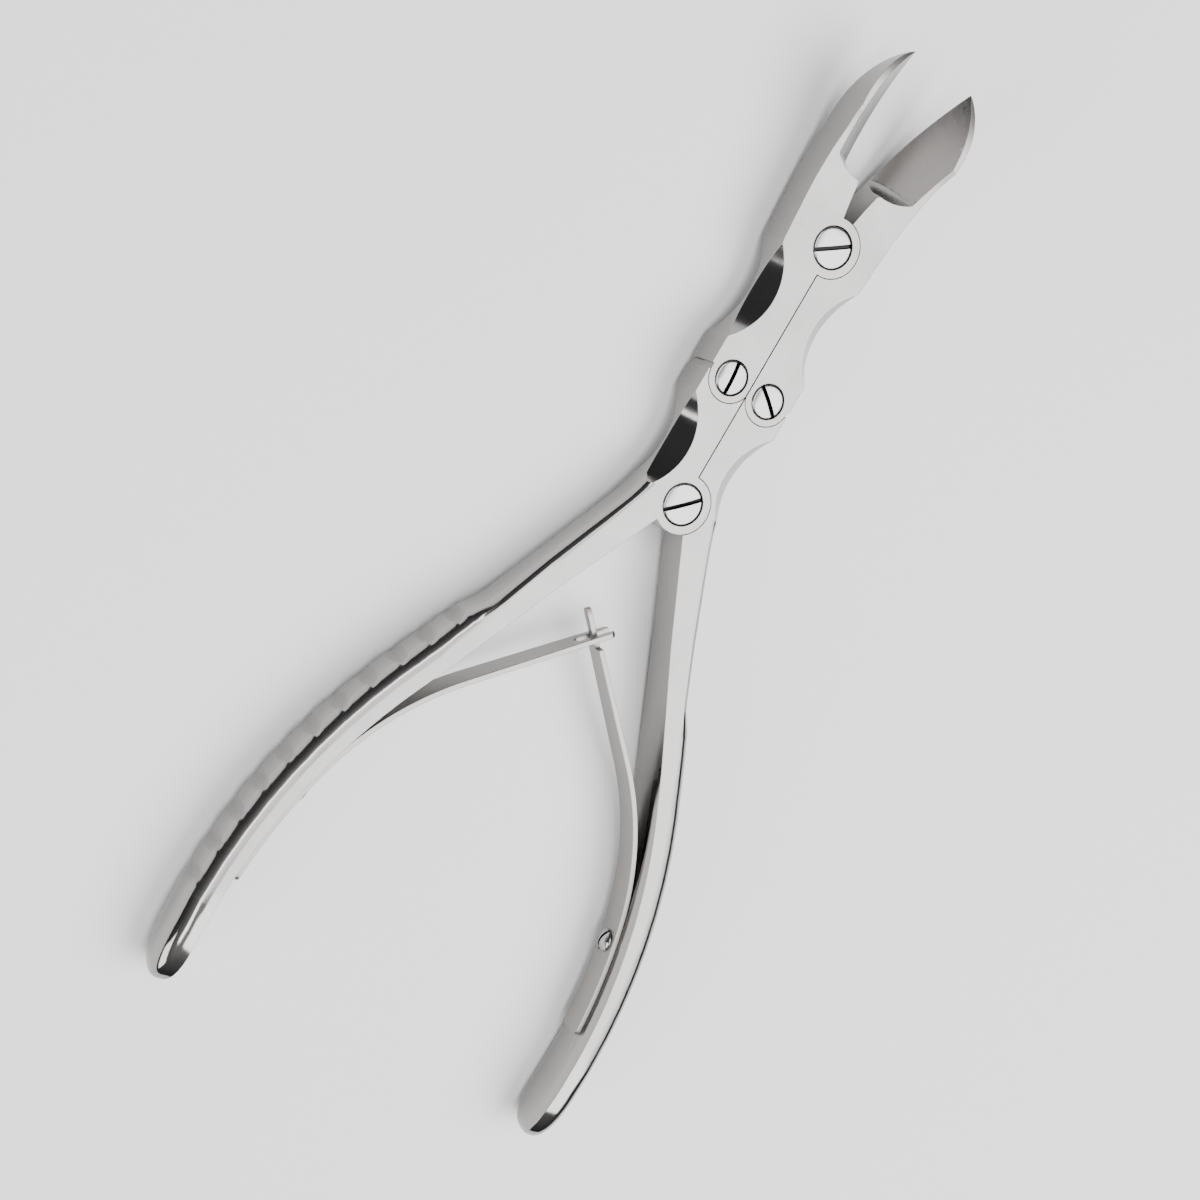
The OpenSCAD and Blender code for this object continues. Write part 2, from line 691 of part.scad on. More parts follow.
module left_spring_screw() {
    color(SCREW_STEEL) on_side(LEFT) spring_screw();
}

module right_spring_screw() {
    color(SCREW_STEEL) spring_screw();
}

left_jaw();
right_jaw();
left_handle();
right_handle();
jaw_pivot_screw();
handle_pivot_screw();
left_link_screw();
right_link_screw();
left_spring_foot();
right_spring_foot();
left_spring_leaf();
right_spring_leaf();
left_spring_screw();
right_spring_screw();
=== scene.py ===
import math

import bpy
import numpy as np
from mathutils import Matrix, Vector


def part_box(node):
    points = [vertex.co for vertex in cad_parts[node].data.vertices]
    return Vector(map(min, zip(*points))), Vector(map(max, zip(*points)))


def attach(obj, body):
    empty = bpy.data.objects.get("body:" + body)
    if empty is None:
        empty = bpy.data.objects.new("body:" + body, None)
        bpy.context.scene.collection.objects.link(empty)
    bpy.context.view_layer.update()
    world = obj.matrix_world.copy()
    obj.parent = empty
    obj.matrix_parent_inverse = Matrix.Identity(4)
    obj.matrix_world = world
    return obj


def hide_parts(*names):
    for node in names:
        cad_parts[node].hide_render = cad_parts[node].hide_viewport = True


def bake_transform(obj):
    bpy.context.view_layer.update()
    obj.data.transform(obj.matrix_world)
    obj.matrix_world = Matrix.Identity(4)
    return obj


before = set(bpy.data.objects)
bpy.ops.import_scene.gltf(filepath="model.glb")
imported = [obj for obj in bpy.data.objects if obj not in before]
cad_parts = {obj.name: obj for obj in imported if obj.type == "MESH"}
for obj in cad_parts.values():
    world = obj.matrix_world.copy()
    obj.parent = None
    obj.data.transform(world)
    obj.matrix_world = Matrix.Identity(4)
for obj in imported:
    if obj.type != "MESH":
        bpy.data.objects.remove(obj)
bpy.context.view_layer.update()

# ---------------------------------------------------------------------------
# Jaws
# Two forged stainless jaws: flat brushed faces, polished hollows at the waist
# and a hollow-ground bevel on each blade that sweeps up. Each is one forging,
# milled flat, ground by hand on a wheel and brushed along the tool.
# ---------------------------------------------------------------------------


def link(tree, *pairs):
    """Joins sockets: each pair is an output socket and the input that it feeds."""
    for output, target in pairs:
        tree.links.new(output, target)


def place_mesh(piece, weld, outward):
    """Puts a piece in the scene, welds its coincident points and turns its faces outward, as asked."""
    bpy.context.scene.collection.objects.link(piece)
    bpy.context.view_layer.objects.active = piece
    bpy.ops.object.select_all(action="DESELECT")
    piece.select_set(True)
    bpy.ops.object.mode_set(mode="EDIT")
    bpy.ops.mesh.select_all(action="SELECT")
    if weld:
        bpy.ops.mesh.remove_doubles(threshold=0.000002)
    if outward:
        bpy.ops.mesh.normals_make_consistent(inside=False)
    bpy.ops.object.mode_set(mode="OBJECT")


def brushed_grain():
    """Group: fine parallel brush lines and cloudy wear on bare steel.

    Lines are a noise stretched about 60 times along the brushing direction, clouds a slow noise.
    Tone = 1 + lines + clouds around 1, Roughness = base + spread x (lines + clouds), Height = lines.
    """
    g = bpy.data.node_groups.new("brushed_grain", "ShaderNodeTree")
    face = g.interface
    face.new_socket("Position", in_out="INPUT", socket_type="NodeSocketVector")
    for name, value in (
        ("Turn", 0.0),
        ("Fineness", 2600.0),
        ("Line Depth", 0.08),
        ("Cloud Depth", 0.06),
        ("Base Roughness", 0.35),
        ("Roughness Spread", 0.12),
    ):
        face.new_socket(name, in_out="INPUT", socket_type="NodeSocketFloat").default_value = value
    for name in ("Tone", "Roughness", "Height"):
        face.new_socket(name, in_out="OUTPUT", socket_type="NodeSocketFloat")
    n = g.nodes
    inp, out = n.new("NodeGroupInput"), n.new("NodeGroupOutput")
    turn = n.new("ShaderNodeVectorRotate")
    turn.rotation_type = "Z_AXIS"
    stretch = n.new("ShaderNodeVectorMath")
    stretch.operation = "MULTIPLY"
    squeeze_along = 0.016
    stretch.inputs[1].default_value = (1.0, squeeze_along, 1.0)
    lines = n.new("ShaderNodeTexNoise")
    lines.inputs["Detail"].default_value = 3.0
    lines.inputs["Roughness"].default_value = 0.62
    clouds = n.new("ShaderNodeTexNoise")
    clouds.inputs["Scale"].default_value = 95.0
    clouds.inputs["Detail"].default_value = 4.0

    def calc(kind, a, b, clamp=False):
        m = n.new("ShaderNodeMath")
        m.operation = kind
        m.use_clamp = clamp
        for i, v in enumerate((a, b)):
            if isinstance(v, (int, float)):
                m.inputs[i].default_value = v
            else:
                g.links.new(v, m.inputs[i])
        return m.outputs[0]

    link(
        g,
        (inp.outputs["Position"], turn.inputs["Vector"]),
        (inp.outputs["Turn"], turn.inputs["Angle"]),
        (turn.outputs[0], stretch.inputs[0]),
        (stretch.outputs[0], lines.inputs["Vector"]),
        (inp.outputs["Fineness"], lines.inputs["Scale"]),
        (inp.outputs["Position"], clouds.inputs["Vector"]),
    )
    line = calc("SUBTRACT", lines.outputs["Fac"], 0.5)
    cloud = calc("SUBTRACT", clouds.outputs["Fac"], 0.5)
    line_tone = calc("MULTIPLY", line, inp.outputs["Line Depth"])
    cloud_tone = calc("MULTIPLY", cloud, inp.outputs["Cloud Depth"])
    tone = calc("ADD", calc("ADD", line_tone, cloud_tone), 1.0)
    uneven = calc("MULTIPLY", calc("ADD", line, cloud), inp.outputs["Roughness Spread"])
    rough = calc("ADD", uneven, inp.outputs["Base Roughness"], clamp=True)
    link(g, (tone, out.inputs["Tone"]), (rough, out.inputs["Roughness"]), (line, out.inputs["Height"]))
    return g


def edge_rub_and_highlight():
    """Group: a bright rub along edges, partly real wear and partly a painted highlight.

    Rub and highlight = how far the normal rounded over a small radius leans from the true normal, scaled
    and clamped.
    """
    g = bpy.data.node_groups.new("edge_rub_and_highlight", "ShaderNodeTree")
    g.interface.new_socket("Soft Normal", in_out="INPUT", socket_type="NodeSocketVector")
    g.interface.new_socket("Strength", in_out="INPUT", socket_type="NodeSocketFloat").default_value = 3.0
    g.interface.new_socket("Rub And Highlight", in_out="OUTPUT", socket_type="NodeSocketFloat")
    n = g.nodes
    inp, out = n.new("NodeGroupInput"), n.new("NodeGroupOutput")
    geometry = n.new("ShaderNodeNewGeometry")
    dot = n.new("ShaderNodeVectorMath")
    dot.operation = "DOT_PRODUCT"
    lean = n.new("ShaderNodeMath")
    lean.operation = "SUBTRACT"
    lean.inputs[0].default_value = 1.0
    gain = n.new("ShaderNodeMath")
    gain.operation = "MULTIPLY"
    gain.use_clamp = True
    link(
        g,
        (inp.outputs["Soft Normal"], dot.inputs[0]),
        (geometry.outputs["Normal"], dot.inputs[1]),
        (dot.outputs["Value"], lean.inputs[1]),
        (lean.outputs[0], gain.inputs[0]),
        (inp.outputs["Strength"], gain.inputs[1]),
        (gain.outputs[0], out.inputs["Rub And Highlight"]),
    )
    return g


GRAIN = brushed_grain()
RUB_AND_HIGHLIGHT = edge_rub_and_highlight()


def bare_steel(
    name,
    colour,
    roughness,
    spread,
    turn=0.0,
    fineness=2600.0,
    lines=0.08,
    clouds=0.06,
    edge=0.00022,
    shine=0.13,
):
    """Bare steel: colour x tone, brighter at edges (real rubbing and a painted highlight), and painted
    near black as shade in a recess.

    A recess is where the recess attribute is 1. Roughness runs from the brushed value to the shine
    where the polish attribute is 1, and brush lines are a bump.
    """
    m = bpy.data.materials.new(name)
    m.use_nodes = True
    t = m.node_tree
    n = t.nodes
    n.clear()
    out = n.new("ShaderNodeOutputMaterial")
    shader = n.new("ShaderNodeBsdfPrincipled")
    shader.inputs["Metallic"].default_value = 1.0
    where = n.new("ShaderNodeTexCoord")
    grain = n.new("ShaderNodeGroup")
    grain.node_tree = GRAIN
    for key, value in (
        ("Turn", turn),
        ("Fineness", fineness),
        ("Line Depth", lines),
        ("Cloud Depth", clouds),
        ("Base Roughness", roughness),
        ("Roughness Spread", spread),
    ):
        grain.inputs[key].default_value = value
    soft = n.new("ShaderNodeBevel")
    soft.samples = 6
    soft.inputs["Radius"].default_value = edge
    rub_and_highlight = n.new("ShaderNodeGroup")
    rub_and_highlight.node_tree = RUB_AND_HIGHLIGHT
    # Edges are lightened by 35 percent: partly real wear, partly a painted highlight.
    tint = n.new("ShaderNodeMix")
    tint.data_type = "RGBA"
    tint.inputs[6].default_value = (*colour, 1)
    rub_and_highlight_gain = 1.35
    tint.inputs[7].default_value = (*[min(1.0, c * rub_and_highlight_gain) for c in colour], 1)
    # Painted shade: where the recess attribute is 1 the colour is mixed to near black.
    painted_recess_shade = n.new("ShaderNodeMix")
    painted_recess_shade.data_type = "RGBA"
    painted_recess_shade.inputs[7].default_value = (0.012, 0.012, 0.013, 1)
    recess = n.new("ShaderNodeAttribute")
    recess.attribute_name = "recess"
    shade = n.new("ShaderNodeVectorMath")
    shade.operation = "SCALE"
    polish = n.new("ShaderNodeAttribute")
    polish.attribute_name = "polish"
    buffed = n.new("ShaderNodeMix")
    buffed.data_type = "FLOAT"
    buffed.inputs[3].default_value = shine
    height = n.new("ShaderNodeBump")
    height.inputs["Strength"].default_value = 0.35
    height.inputs["Distance"].default_value = 0.00001
    link(
        t,
        (where.outputs["Object"], grain.inputs["Position"]),
        (soft.outputs["Normal"], rub_and_highlight.inputs["Soft Normal"]),
        (rub_and_highlight.outputs["Rub And Highlight"], tint.inputs[0]),
        (tint.outputs[2], painted_recess_shade.inputs[6]),
        (recess.outputs["Fac"], painted_recess_shade.inputs[0]),
        (painted_recess_shade.outputs[2], shade.inputs[0]),
        (grain.outputs["Tone"], shade.inputs["Scale"]),
        (shade.outputs[0], shader.inputs["Base Color"]),
        (grain.outputs["Roughness"], buffed.inputs[2]),
        (polish.outputs["Fac"], buffed.inputs[0]),
        (buffed.outputs[0], shader.inputs["Roughness"]),
        (grain.outputs["Height"], height.inputs["Height"]),
        (soft.outputs["Normal"], height.inputs["Normal"]),
        (height.outputs["Normal"], shader.inputs["Normal"]),
        (shader.outputs[0], out.inputs[0]),
    )
    return m


def machined(name, node, crease, polish):
    """A merged copy of a milled piece with creases, soft shading and a polish attribute.

    An edge is a crease where its two faces turn by more than the crease angle, or where a level
    flat meets anything that turns away by more than 1.5 degrees. Polish is a function of each
    face's centre in millimetres and its normal.
    """
    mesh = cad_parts[node].data.copy()
    mesh.materials.clear()
    piece = bpy.data.objects.new(name, mesh)
    place_mesh(piece, weld=True, outward=False)
    count = len(mesh.polygons)
    normal, centre = np.empty(count * 3), np.empty(count * 3)
    mesh.polygons.foreach_get("normal", normal)
    mesh.polygons.foreach_get("center", centre)
    normal, centre = normal.reshape(-1, 3), centre.reshape(-1, 3)
    corners, edge = np.empty(count, dtype=int), np.empty(len(mesh.loops), dtype=int)
    mesh.polygons.foreach_get("loop_total", corners)
    mesh.loops.foreach_get("edge_index", edge)
    owner = np.repeat(np.arange(count), corners)
    order = np.argsort(edge, kind="stable")
    edge, owner = edge[order], owner[order]
    paired = edge[:-1] == edge[1:]
    a, b, joint = owner[:-1][paired], owner[1:][paired], edge[:-1][paired]
    turn = np.degrees(np.arccos(np.clip((normal[a] * normal[b]).sum(axis=1), -1, 1)))
    level = np.abs(normal[:, 2]) > 0.99995
    sharp = np.ones(len(mesh.edges), dtype=bool)
    flat_crease = 1.5
    sharp[joint] = (turn > crease) | ((level[a] != level[b]) & (turn > flat_crease))
    mesh.shade_smooth()
    mesh.attributes.new("sharp_edge", "BOOLEAN", "EDGE").data.foreach_set("value", sharp)
    shine = polish(centre * 1000, normal).astype(float)
    mesh.attributes.new("polish", "FLOAT", "FACE").data.foreach_set("value", shine)
    even = piece.modifiers.new("even_normals", "WEIGHTED_NORMAL")
    even.keep_sharp = True
    even.weight = 60
    return piece


def jaw_polish(centre, normal):
    """Waist hollows are polished (1), ground bevels half so (0.45), flats and flanks brushed (0)."""
    waist_start, waist_end, bevel_start = 55, 84, 103
    across, along, up = np.abs(centre[:, 0]), centre[:, 1], normal[:, 2]
    tilted = (np.abs(up) > 0.2) & (np.abs(up) < 0.985)
    hollow = (across > 5.5) & (along > waist_start) & (along < waist_end) & tilted
    bevel = (along > bevel_start) & (up > 0.2) & (up < 0.9)
    return np.where(hollow, 1.0, np.where(bevel, 0.45, 0.0))


jaw_steel = bare_steel(
    "brushed_jaw_steel", (0.30, 0.291, 0.286), 0.35, 0.2, lines=0.16, clouds=0.07
)
for side in ("left", "right"):
    jaw = machined(side + "_jaw_forging", side + "_jaw", 28.0, jaw_polish)
    jaw.data.materials.append(jaw_steel)
    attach(jaw, side + "_jaw_body")
    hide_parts(side + "_jaw")

# ---------------------------------------------------------------------------
# Handles
# Each handle is one stainless forging: a flat arm, a D-shaped shank and a
# swelling grip with ground finger notches. The rounded outer corners are
# buffed bright and the plain end is a mirror. The notches stay brushed.
# ---------------------------------------------------------------------------


def handle_polish(centre, normal):
    """Arm hollows are polished, the rounded corners of the shank are buffed, and the end is a mirror.

    The corners are buffed (0.75) where the normal leans 10 to 78 degrees from upright; the end turns
    to a mirror over 8 mm past the last notch.
    """
    hollow_start, hollow_end, shank_top, mirror_start, mirror_run = 14, 43, 22, -108, 8
    across, along, up = np.abs(centre[:, 0]), centre[:, 1], np.abs(normal[:, 2])
    tilted = (up > 0.2) & (up < 0.985)
    hollow = (across > 4.5) & (along > hollow_start) & (along < hollow_end) & tilted
    corner = np.where(tilted & (along < shank_top), 0.75, 0.0)
    end = np.clip((mirror_start - along) / mirror_run, 0, 1)
    return np.maximum(np.where(hollow, 1.0, corner), end)


handle_steel = bare_steel(
    "brushed_handle_steel", (0.30, 0.291, 0.286), 0.33, 0.2, lines=0.14, clouds=0.07, shine=0.1
)
for side in ("left", "right"):
    handle = machined(side + "_handle_forging", side + "_handle", 21.0, handle_polish)
    handle.data.materials.append(handle_steel)
    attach(handle, side + "_handle_body")
    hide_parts(side + "_handle")

# ---------------------------------------------------------------------------
# Pivot screws
# Four turned stainless screws with low domed, slotted heads sunk flush in the
# upper lap, and plain ends that show below. Heads are polished and the rims
# broken, and the slots are painted near black as shade.
# ---------------------------------------------------------------------------


def sheet_mesh(rows, columns):
    """Quads of a grid whose points are numbered row by row, as an array of four corners each."""
    k = np.arange((rows - 1) * (columns - 1))
    a = k // (columns - 1) * columns + k % (columns - 1)
    return np.stack([a, a + 1, a + columns + 1, a + columns], axis=1)


def slotted_head(r, rise, depth, slot, slot_depth, rim, wall=0.04):
    """A domed head with a straight slot, standing on Z = 0 at its rim, in millimetres.

    Columns stand at set places across the slot and each runs the width of the disc there. Height is
    the dome, z = rise x (1 - (distance / r)^2), less a rounded rim, and the slot's floor between its
    walls lies a set depth below the crown.
    The outline is then carried straight down by the depth and closed.
    """
    half = slot / 2
    side = r * np.sin(np.linspace(0, np.pi / 2 * 0.985, 15))
    side = side[side > half + 0.2]
    lips = half + wall * np.array([-1, 0, 1, 2])
    x = np.r_[-side[::-1], -lips[::-1], 0.0, lips, side]
    v = np.sin(np.linspace(-np.pi / 2, np.pi / 2, 29))
    X = np.repeat(x[:, None], len(v), axis=1)
    Y = np.sqrt(r * r - x * x)[:, None] * v[None, :]
    far = np.hypot(X, Y)
    edge = np.clip((far - (r - rim)) / rim, 0, 1)
    Z = rise * (1 - (far / r) ** 2) - rim * (1 - np.sqrt(1 - edge**2 * 0.998))
    sunk = np.abs(X) < half - wall / 2
    Z = np.where(sunk, rise - slot_depth, Z)
    lip = (np.abs(X) > half - wall / 2) & (np.abs(X) < half + wall / 2)
    Z = np.where(lip, Z - wall, Z)
    top = np.stack([X, Y, Z], axis=2).reshape(-1, 3)
    c = len(v)
    n = len(x)
    ring = np.r_[
        np.arange(n) * c,
        (n - 1) * c + np.arange(1, c),
        np.arange(n - 2, -1, -1) * c + c - 1,
        np.arange(c - 2, 0, -1),
    ]
    low = top[ring].copy()
    low[:, 2] = -depth
    rim_low = len(top) + np.arange(len(ring))
    quads = sheet_mesh(n, c)[:, ::-1]
    walls = np.stack([ring, rim_low, np.roll(rim_low, -1), np.roll(ring, -1)], axis=1)[:, ::-1]
    faces = [tuple(q) for q in np.vstack([quads, walls]).tolist()]
    faces.append(tuple(rim_low[::-1].tolist()))
    # The slot floor and lips are marked for painted shade.
    recess = np.r_[(sunk | lip).reshape(-1), np.zeros(len(ring), dtype=bool)].astype(float)
    return np.vstack([top, low]), faces, recess


def turned_shank(r, top, bottom, chamfer):
    """A plain shank: a profile with a chamfered end, turned about the upright axis in 48 steps.

    A point at radius d and angle t is (d cos t, d sin t, height), in millimetres.
    """
    steps, axis = 48, 0.001
    far = np.array([axis, r, r, r - chamfer, axis])[:, None]
    height = np.array([top, top, bottom + chamfer, bottom, bottom])[:, None]
    angle = np.linspace(0, 2 * np.pi, steps + 1)
    P = np.stack([far * np.cos(angle), far * np.sin(angle), height + 0 * angle], axis=2)
    return P.reshape(-1, 3), [tuple(q) for q in sheet_mesh(5, steps + 1)[:, ::-1].tolist()]


def make_screw(name, head, shank_r, shank_end, slot_turn, basis, place):
    """One screw from its head's sizes and shank: turned to its slot angle, then set in place.

    The basis gives the directions that the screw's own X, Y and Z take, in that order.
    """
    points, faces, recess = slotted_head(**head)
    turn = math.radians(slot_turn - 90)
    c, s = math.cos(turn), math.sin(turn)
    spin = np.array([[c, -s, 0], [s, c, 0], [0, 0, 1]])
    depth = head["depth"]
    shank, shank_faces = turned_shank(shank_r, -depth + 0.2, shank_end, 0.3)
    faces += [tuple(i + len(points) for i in f) for f in shank_faces]
    recess = np.r_[recess, np.zeros(len(shank))]
    points = np.vstack([points @ spin.T, shank])
    points = (points @ np.array(basis) + np.array(place)) / 1000
    mesh = bpy.data.meshes.new(name)
    mesh.from_pydata(points.tolist(), [], faces)
    # The recess attribute marks the slot for painted shade in the steel material.
    mesh.attributes.new("recess", "FLOAT", "POINT").data.foreach_set("value", recess)
    plain = np.zeros(len(points))
    mesh.attributes.new("polish", "FLOAT", "POINT").data.foreach_set("value", plain)
    screw = bpy.data.objects.new(name, mesh)
    place_mesh(screw, weld=True, outward=True)
    mesh.shade_smooth()
    mesh.set_sharp_from_angle(angle=math.radians(40))
    return screw


screw_steel = bare_steel(
    "polished_screw_steel",
    (0.36, 0.355, 0.35),
    0.17,
    0.1,
    fineness=1900.0,
    clouds=0.12,
    edge=0.00012,
)
dome = 0.45
for node, body, r, shank_r, slot_turn in (
    ("jaw_pivot_screw", "right_jaw_body", 5.05, 3.0, 35),
    ("handle_pivot_screw", "right_handle_body", 5.05, 3.0, 42),
    ("left_link_screw", "left_handle_body", 4.15, 2.4, 95),
    ("right_link_screw", "right_handle_body", 4.15, 2.4, -37),
):
    low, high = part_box(node)
    across = (low[0] + high[0]) * 500, (low[1] + high[1]) * 500
    top = high[2] * 1000 - dome
    head = {"r": r, "rise": dome, "depth": 2.6, "slot": 0.95, "slot_depth": 1.3, "rim": 0.4}
    shank_end = low[2] * 1000 - top
    place = (*across, top)
    screw = make_screw(node + "_turned", head, shank_r, shank_end, slot_turn, np.eye(3), place)
    screw.data.materials.append(screw_steel)
    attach(screw, body)
    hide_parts(node)

# ---------------------------------------------------------------------------
# Leaf springs
# Two strips of spring steel, each screwed to the inside of its grip, bowed away
# from it and run straight to the crossing. The left tip is a fork and the right
# one a tongue that lies in it. They are blanked, tapered, bent and tempered.
# ---------------------------------------------------------------------------


def spring_line(s):
    """Centre line of the right spring at lengths s from its foot, in millimetres, and its directions.

    An arc of 142.6 mm along the grip, an arc of 77.9 mm away from it, then a straight run; the two arcs
    and the line are tangent. Returns the point, the sideways normal and the fore-and-aft direction.
    """
    grip_r, bow_r = 142.608, 77.9409
    t0, t1, t2 = np.radians([3.3506, 14.8632, 45.9648])
    grip_length, bow_length = grip_r * (t1 - t0), bow_r * (t2 - t1)
    turn = np.where(s < grip_length, t0 + s / grip_r, np.minimum(t1 + (s - grip_length) / bow_r, t2))
    out = np.stack([np.cos(turn), np.sin(turn)], axis=-1)
    on = np.stack([-np.sin(turn), np.cos(turn)], axis=-1)
    centre = np.where((s < grip_length)[:, None], [-92.7701, -115.03], [-30.2667, -98.4421])
    radius = np.where(s < grip_length, grip_r, bow_r)[:, None]
    straight = np.maximum(s - grip_length - bow_length, 0)[:, None]
    return centre + radius * out + straight * on, out, on


def spring_strip(name, fork, mirror):
    """One spring: a blank cut out of three lanes along the strip, bent to the spring line.

    Lanes share their borders: half the tongue or slot, and half the strip. A cell of a lane is kept
    up to its own end, the kept cells get a top and a bottom, and a wall wherever the neighbour is
    missing. Lengths are in millimetres along the strip from its foot.
    """
    mid_height = 7.3
    crossing = 28.6545 + 42.3081 + 33.2586
    reach = 4.6 if fork else 7.6
    cut = crossing - 5.0 if fork else crossing - 2.6
    inner = 1.45 if fork else 1.1
    s = np.r_[
        np.linspace(0, 1.2, 4),
        np.arange(3.0, cut - 1.5, 1.5),
        cut + np.array([-1.0, 0, 0.15, 0.45, 0.9, 1.45]),
        np.linspace(cut + 2.2, crossing + reach, 9),
    ]
    tip = np.clip((crossing + reach - s) / 1.3, 0, 1)
    foot = np.clip(s / 1.2, 0, 1)
    round_foot, round_tip = (1 - np.sqrt(1 - (1 - along) ** 2) for along in (foot, tip))
    half = np.minimum(4.0, 3.2 + 0.8 * np.maximum(crossing - s, 0) / 33.3) - 0.8 * round_foot
    lane = np.full(len(s), inner)
    if fork:
        half = half - 0.9 * round_tip
        opening = np.clip((s - cut) / 1.45, 0.03, 1)
        slot = inner * np.sqrt(np.clip(1 - (1 - opening) ** 2, 0, 1))
        lane = np.where(s < cut, 0.25, slot)
    else:
        lane = lane - 0.55 * round_tip
    border = np.stack([-half, -lane, lane, half], axis=1)
    thick = np.interp(s, [0, 30, crossing], [0.7, 0.68, 0.66])
    point, out, on = spring_line(s)
    P = np.empty((2, len(s), 4, 3))
    for level, sign in ((0, -1), (1, 1)):
        P[level, :, :, :2] = (point + sign * thick[:, None] * out)[:, None, :]
        P[level, :, :, 2] = mid_height + border
    kept = np.ones((len(s) - 1, 3), dtype=bool)
    past_cut = s[:-1] >= cut - 1e-6
    kept[past_cut, 1] = not fork
    kept[past_cut, 0] = kept[past_cut, 2] = fork
    padded = np.pad(kept, 1)
    rows, lanes = np.nonzero(kept)

    def quad(*corners):
        """Quads whose corners are each a level, a row and a lane border."""
        return np.stack([level * len(s) * 4 + i * 4 + j for level, i, j in corners], axis=1)

    i, j = rows, lanes
    quads = [
        quad((1, i, j), (1, i, j + 1), (1, i + 1, j + 1), (1, i + 1, j)),
        quad((0, i, j), (0, i + 1, j), (0, i + 1, j + 1), (0, i, j + 1)),
    ]
    for di, dj, a, b in (
        (-1, 0, (0, 0), (0, 1)),
        (1, 0, (1, 1), (1, 0)),
        (0, -1, (1, 0), (0, 0)),
        (0, 1, (0, 1), (1, 1)),
    ):
        open_side = ~padded[rows + 1 + di, lanes + 1 + dj]
        i, j = rows[open_side], lanes[open_side]
        near, far = (i + a[0], j + a[1]), (i + b[0], j + b[1])
        quads.append(quad((0, *near), (0, *far), (1, *far), (1, *near)))
    points = P.reshape(-1, 3) / 1000
    if mirror:
        points = points * [-1, 1, 1]
    quads = np.vstack(quads)
    used, again = np.unique(quads, return_inverse=True)
    mesh = bpy.data.meshes.new(name)
    mesh.from_pydata(points[used].tolist(), [], again.reshape(-1, 4).tolist())
    strip = bpy.data.objects.new(name, mesh)
    place_mesh(strip, weld=False, outward=True)
    mesh.shade_smooth()
    broken = strip.modifiers.new("broken_edges", "BEVEL")
    broken.width = 0.00016
    broken.segments = 2
    broken.limit_method = "ANGLE"
    broken.angle_limit = math.radians(40)
    broken.harden_normals = True
    return strip


spring_steel = bare_steel(
    "drawn_spring_steel", (0.285, 0.27, 0.258), 0.34, 0.12, turn=0.5, clouds=0.14
)
for side, sign in (("left", -1), ("right", 1)):
    strip = spring_strip(side + "_leaf_spring", side == "left", side == "left")
    strip.data.materials.append(spring_steel)
    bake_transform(strip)
    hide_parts(side + "_spring_foot", side + "_spring_leaf")

# ---------------------------------------------------------------------------
# Spring screws
# A small round-headed slotted screw holds each spring's foot to its grip. It is
# turned and polished as the pivot screws are, and stands proud of the strip.
# ---------------------------------------------------------------------------

head = {"r": 2.9, "rise": 1.25, "depth": 0.4, "slot": 0.72, "slot_depth": 0.95, "rim": 0.25}
lift = 0.47
lean = math.radians(13.077)
cos_lean, sin_lean = math.cos(lean), math.sin(lean)
for side, sign in (("left", -1), ("right", 1)):
    basis = [(0, 0, 1), (-sign * sin_lean, cos_lean, 0), (-sign * cos_lean, -sin_lean, 0)]
    place = (sign * (45.458 - lift * cos_lean), -82.923 - lift * sin_lean, 7.3)
    screw = make_screw(side + "_spring_screw_turned", head, 1.3, -6.6, 70, basis, place)
    screw.data.materials.append(screw_steel)
    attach(screw, side + "_handle_body")
    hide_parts(side + "_spring_screw")

# ---------------------------------------------------------------------------
# Floor, light and camera
# A plain pale table, a broad soft lamp overhead to the right, a narrower one
# to the left with a dark gap between them, and a low one behind the grips. The
# camera stands over the left side and looks down on the flat of the tool.
# ---------------------------------------------------------------------------

floor_mesh = bpy.data.meshes.new("floor")
reach, below = 4, -0.0004
corners = [(x * reach, y * reach, below) for x, y in ((-1, -1), (1, -1), (1, 1), (-1, 1))]
floor_mesh.from_pydata(corners, [], [(0, 1, 2, 3)])
floor = bpy.data.objects.new("floor", floor_mesh)
bpy.context.scene.collection.objects.link(floor)
floor_paint = bpy.data.materials.new("floor_paint")
floor_paint.use_nodes = True
paint = floor_paint.node_tree.nodes["Principled BSDF"]
paint.inputs["Base Color"].default_value = (0.94, 0.94, 0.94, 1)
paint.inputs["Roughness"].default_value = 0.9
floor_mesh.materials.append(floor_paint)

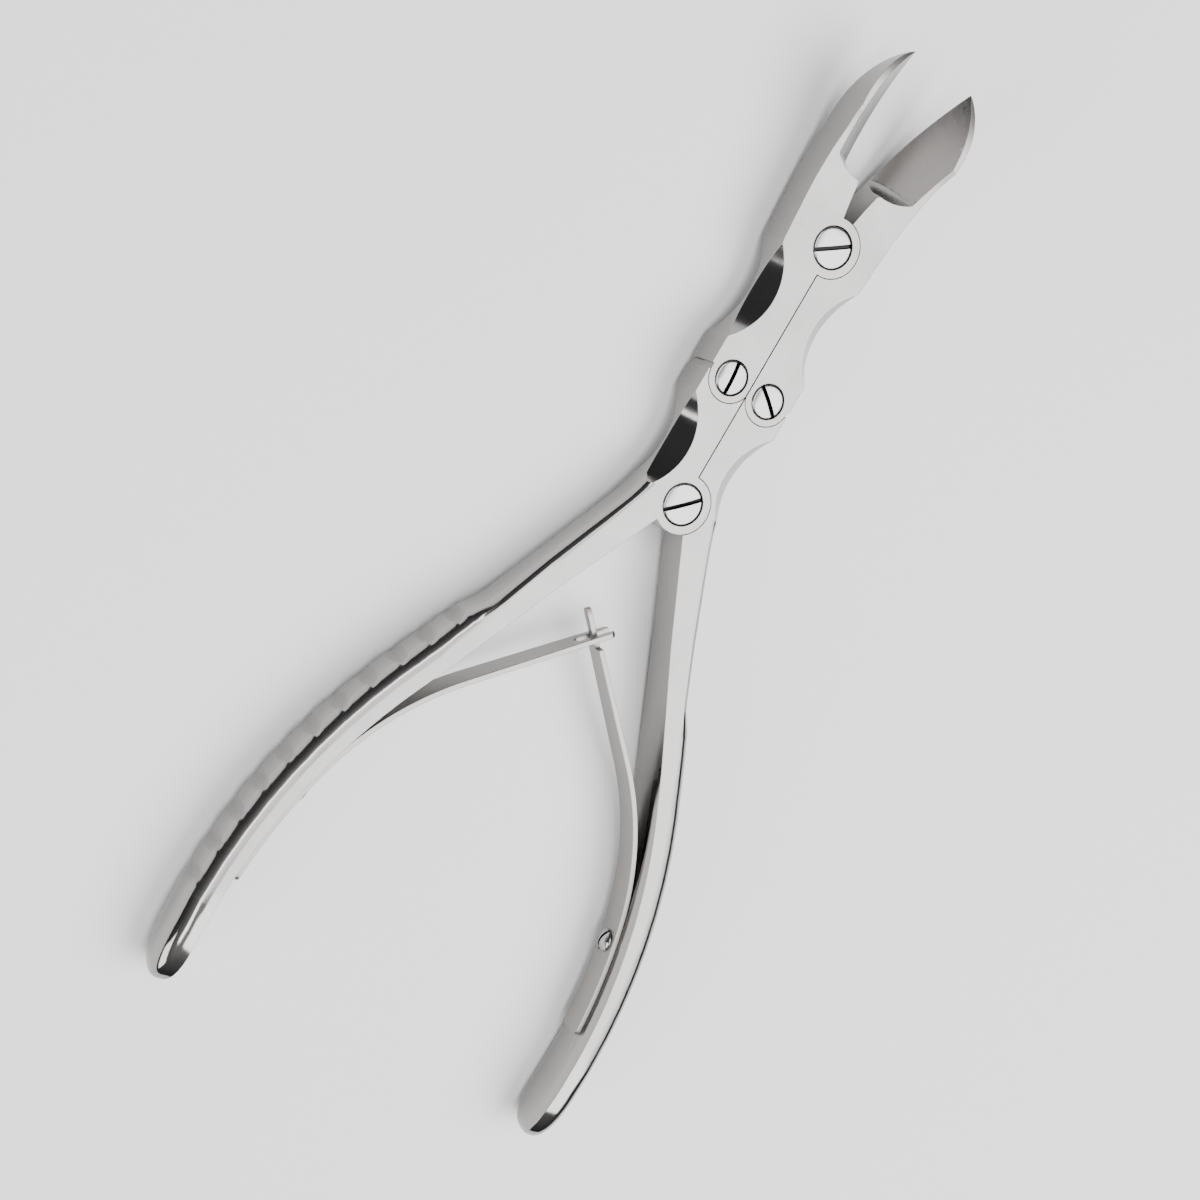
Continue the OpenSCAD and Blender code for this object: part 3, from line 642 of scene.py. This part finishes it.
world = bpy.data.worlds.new("studio")
bpy.context.scene.world = world
world.use_nodes = True
sky = world.node_tree
sky.nodes.clear()
where = sky.nodes.new("ShaderNodeTexCoord")
split = sky.nodes.new("ShaderNodeSeparateXYZ")
ramp = sky.nodes.new("ShaderNodeValToRGB")
stops = ramp.color_ramp.elements
stops[0].position = 0.0
stops[0].color = (0.05, 0.05, 0.052, 1)
stops[1].position = 0.95
stops[1].color = (0.55, 0.545, 0.54, 1)
stops.new(0.35).color = (0.1, 0.1, 0.102, 1)
stops.new(0.7).color = (0.22, 0.22, 0.22, 1)
back = sky.nodes.new("ShaderNodeBackground")
back.inputs["Strength"].default_value = 1.0
end = sky.nodes.new("ShaderNodeOutputWorld")
link(
    sky,
    (where.outputs["Generated"], split.inputs[0]),
    (split.outputs[2], ramp.inputs[0]),
    (ramp.outputs[0], back.inputs[0]),
    (back.outputs[0], end.inputs[0]),
)


def softbox(name, place, aim, size, watts):
    """A rectangular lamp at a place, turned so that it shines at the aim."""
    lamp = bpy.data.lights.new(name, "AREA")
    lamp.shape = "RECTANGLE"
    lamp.size, lamp.size_y = size
    lamp.energy = watts
    holder = bpy.data.objects.new(name, lamp)
    holder.location = place
    ahead = Vector(aim) - Vector(place)
    holder.rotation_euler = ahead.to_track_quat("-Z", "Y").to_euler()
    bpy.context.scene.collection.objects.link(holder)


softbox("overhead", (0.72, 0.0, 1.1), (0, 0, 0), (1.5, 1.1), 31.0)
softbox("left_lamp", (-0.24, 0.0, 1.25), (0, 0, 0), (1.4, 0.34), 10.0)
softbox("window", (-0.75, -0.95, 0.5), (0, 0, 0), (0.9, 0.6), 9.0)

eye = Vector((-0.2361, -0.0060, 0.4598))
aim = Vector((-0.0035, -0.0110, 0.0073))
roll = math.radians(121.38)
lens = bpy.data.cameras.new("camera")
lens.sensor_width = 36.0
lens.lens = 64.64
lens.clip_start = 0.01
camera = bpy.data.objects.new("camera", lens)
ahead = (aim - eye).normalized()
level = ahead.cross(Vector((0, 0, 1))).normalized()
above = level.cross(ahead)
side_way = level * math.cos(roll) + above * math.sin(roll)
up_way = above * math.cos(roll) - level * math.sin(roll)
turned = Matrix((side_way, up_way, -ahead)).transposed().to_4x4()
camera.matrix_world = Matrix.Translation(eye) @ turned
bpy.context.scene.collection.objects.link(camera)
bpy.context.scene.camera = camera
